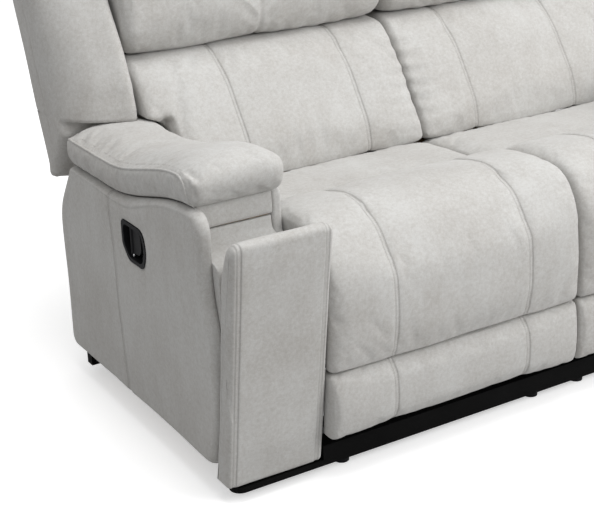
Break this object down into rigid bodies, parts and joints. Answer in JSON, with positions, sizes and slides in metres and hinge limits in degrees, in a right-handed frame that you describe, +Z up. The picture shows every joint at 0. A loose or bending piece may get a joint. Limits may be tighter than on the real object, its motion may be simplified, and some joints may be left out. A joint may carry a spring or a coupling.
{
  "type": "reclining sofa",
  "caption": "Two-seat reclining sofa with pillow arms, leaning arm fronts, padded seats, footrests that swing out on linkages, gliding seats, reclining backs and recessed release handles",
  "frame": {"origin": "middle of the overall width and depth, on the floor", "axes": "+X to the sitter's left (right end in front view), +Y towards the back, +Z up; millimetres in STEP, metres in GLB"},
  "size_m": [1.49, 0.9875, 0.9981],
  "materials": {
    "suede": "brushed suede-like microfibre over foam, mottled light warm grey",
    "timber": "sawn softwood and plywood, unfinished",
    "black_plastic": "black moulded plastic, slight sheen",
    "mechanism_steel": "black painted stamped steel",
    "black_rail": "black painted steel, satin",
    "cable_sheath": "black ribbed plastic sheath over a steel wire",
    "elastic_webbing": "woven black elastic"
  },
  "bodies": {
    "base": {"kick_rail": "black_rail", "rear_rail": "black_rail", "base_channels": "mechanism_steel", "feet": "black_plastic", "left_arm_frame": "timber", "left_arm_outer_panel": "suede", "left_arm_inner_panel": "suede", "left_arm_front_slab": "suede", "left_arm_front_core": "suede", "left_arm_riser": "suede", "left_arm_pad": "suede", "left_handle_bezel": "black_plastic", "left_handle_pin": "mechanism_steel", "left_release_cable": "cable_sheath", "right_arm_frame": "timber", "right_arm_outer_panel": "suede", "right_arm_inner_panel": "suede", "right_arm_front_slab": "suede", "right_arm_front_core": "suede", "right_arm_riser": "suede", "right_arm_pad": "suede", "right_handle_bezel": "black_plastic", "right_handle_pin": "mechanism_steel", "right_release_cable": "cable_sheath"},
    "left_seat": {"left_seat_side_plates": "mechanism_steel", "left_seat_runners": "mechanism_steel", "left_seat_frame": "timber", "left_seat_webbing": "elastic_webbing", "left_seat_cushion": "suede"},
    "left_back": {"left_back_brackets": "mechanism_steel", "left_back_frame": "timber", "left_back_shell": "suede", "left_lumbar_cushion": "suede", "left_head_cushion": "suede"},
    "left_drive_links": {"left_drive_links": "mechanism_steel"},
    "left_long_links": {"left_long_links": "mechanism_steel"},
    "left_control_links": {"left_control_links": "mechanism_steel"},
    "left_footrest_links": {"left_footrest_links": "mechanism_steel"},
    "left_footrest": {"left_footrest_brackets": "mechanism_steel", "left_footrest_board": "timber", "left_footrest_pad": "suede"},
    "left_handle": {"left_handle_lever": "black_plastic"},
    "right_seat": {"right_seat_side_plates": "mechanism_steel", "right_seat_runners": "mechanism_steel", "right_seat_frame": "timber", "right_seat_webbing": "elastic_webbing", "right_seat_cushion": "suede"},
    "right_back": {"right_back_brackets": "mechanism_steel", "right_back_frame": "timber", "right_back_shell": "suede", "right_lumbar_cushion": "suede", "right_head_cushion": "suede"},
    "right_drive_links": {"right_drive_links": "mechanism_steel"},
    "right_long_links": {"right_long_links": "mechanism_steel"},
    "right_control_links": {"right_control_links": "mechanism_steel"},
    "right_footrest_links": {"right_footrest_links": "mechanism_steel"},
    "right_footrest": {"right_footrest_brackets": "mechanism_steel", "right_footrest_board": "timber", "right_footrest_pad": "suede"},
    "right_handle": {"right_handle_lever": "black_plastic"}
  },
  "joints": [
    {"name": "left_back_recline", "type": "hinge", "parent": "left_seat", "child": "left_back", "pos_m": [-0.2775, 0.14711, 0.255], "axis": [-1, 0, 0], "range_deg": [0, 32]},
    {"name": "left_seat_glide", "type": "slide", "parent": "base", "child": "left_seat", "axis": [0, -1, 0], "range_m": [0, 0.05]},
    {"name": "left_footrest_open", "type": "hinge", "parent": "left_seat", "child": "left_drive_links", "pos_m": [-0.2775, -0.26119, 0.2557], "axis": [-1, 0, 0], "range_deg": [0, 97.3]},
    {"name": "left_long_link_turn", "type": "hinge", "parent": "left_drive_links", "child": "left_long_links", "pos_m": [-0.2775, -0.15129, 0.1072], "axis": [-1, 0, 0], "range_deg": [-78.5, 0]},
    {"name": "left_control_link_turn", "type": "hinge", "parent": "left_seat", "child": "left_control_links", "pos_m": [-0.2775, -0.30528, 0.2469], "axis": [-1, 0, 0], "range_deg": [0, 98]},
    {"name": "left_footrest_link_turn", "type": "hinge", "parent": "left_drive_links", "child": "left_footrest_links", "pos_m": [-0.2775, -0.14249, 0.1432], "axis": [-1, 0, 0], "range_deg": [-79.1, 0]},
    {"name": "left_footrest_turn", "type": "hinge", "parent": "left_long_links", "child": "left_footrest", "pos_m": [-0.2775, -0.41148, 0.1509], "axis": [-1, 0, 0], "range_deg": [0, 71.2]},
    {"name": "left_handle_pull", "type": "hinge", "parent": "base", "child": "left_handle", "pos_m": [-0.737, -0.09688, 0.383], "axis": [0, 0, -1], "range_deg": [0, 30], "stiffness_Nm_per_rad": 0.4},
    {"name": "right_back_recline", "type": "hinge", "parent": "right_seat", "child": "right_back", "pos_m": [0.2775, 0.14711, 0.255], "axis": [-1, 0, 0], "range_deg": [0, 32]},
    {"name": "right_seat_glide", "type": "slide", "parent": "base", "child": "right_seat", "axis": [0, -1, 0], "range_m": [0, 0.05]},
    {"name": "right_footrest_open", "type": "hinge", "parent": "right_seat", "child": "right_drive_links", "pos_m": [0.2775, -0.26119, 0.2557], "axis": [-1, 0, 0], "range_deg": [0, 97.3]},
    {"name": "right_long_link_turn", "type": "hinge", "parent": "right_drive_links", "child": "right_long_links", "pos_m": [0.2775, -0.15129, 0.1072], "axis": [-1, 0, 0], "range_deg": [-78.5, 0]},
    {"name": "right_control_link_turn", "type": "hinge", "parent": "right_seat", "child": "right_control_links", "pos_m": [0.2775, -0.30528, 0.2469], "axis": [-1, 0, 0], "range_deg": [0, 98]},
    {"name": "right_footrest_link_turn", "type": "hinge", "parent": "right_drive_links", "child": "right_footrest_links", "pos_m": [0.2775, -0.14249, 0.1432], "axis": [-1, 0, 0], "range_deg": [-79.1, 0]},
    {"name": "right_footrest_turn", "type": "hinge", "parent": "right_long_links", "child": "right_footrest", "pos_m": [0.2775, -0.41148, 0.1509], "axis": [-1, 0, 0], "range_deg": [0, 71.2]},
    {"name": "right_handle_pull", "type": "hinge", "parent": "base", "child": "right_handle", "pos_m": [0.737, -0.09688, 0.383], "axis": [0, 0, 1], "range_deg": [0, 30], "stiffness_Nm_per_rad": 0.4}
  ],
  "couplings": [
    {"joint": "left_seat_glide", "follows": "left_back_recline", "m_per_rad": 0.0895},
    {"joint": "left_long_link_turn", "follows": "left_footrest_open", "ratio": -0.80575},
    {"joint": "left_control_link_turn", "follows": "left_footrest_open", "ratio": 1.006},
    {"joint": "left_footrest_link_turn", "follows": "left_footrest_open", "ratio": -0.81182},
    {"joint": "left_footrest_turn", "follows": "left_footrest_open", "ratio": 0.73073},
    {"joint": "right_seat_glide", "follows": "right_back_recline", "m_per_rad": 0.0895},
    {"joint": "right_long_link_turn", "follows": "right_footrest_open", "ratio": -0.80575},
    {"joint": "right_control_link_turn", "follows": "right_footrest_open", "ratio": 1.006},
    {"joint": "right_footrest_link_turn", "follows": "right_footrest_open", "ratio": -0.81182},
    {"joint": "right_footrest_turn", "follows": "right_footrest_open", "ratio": 0.73073}
  ]
}
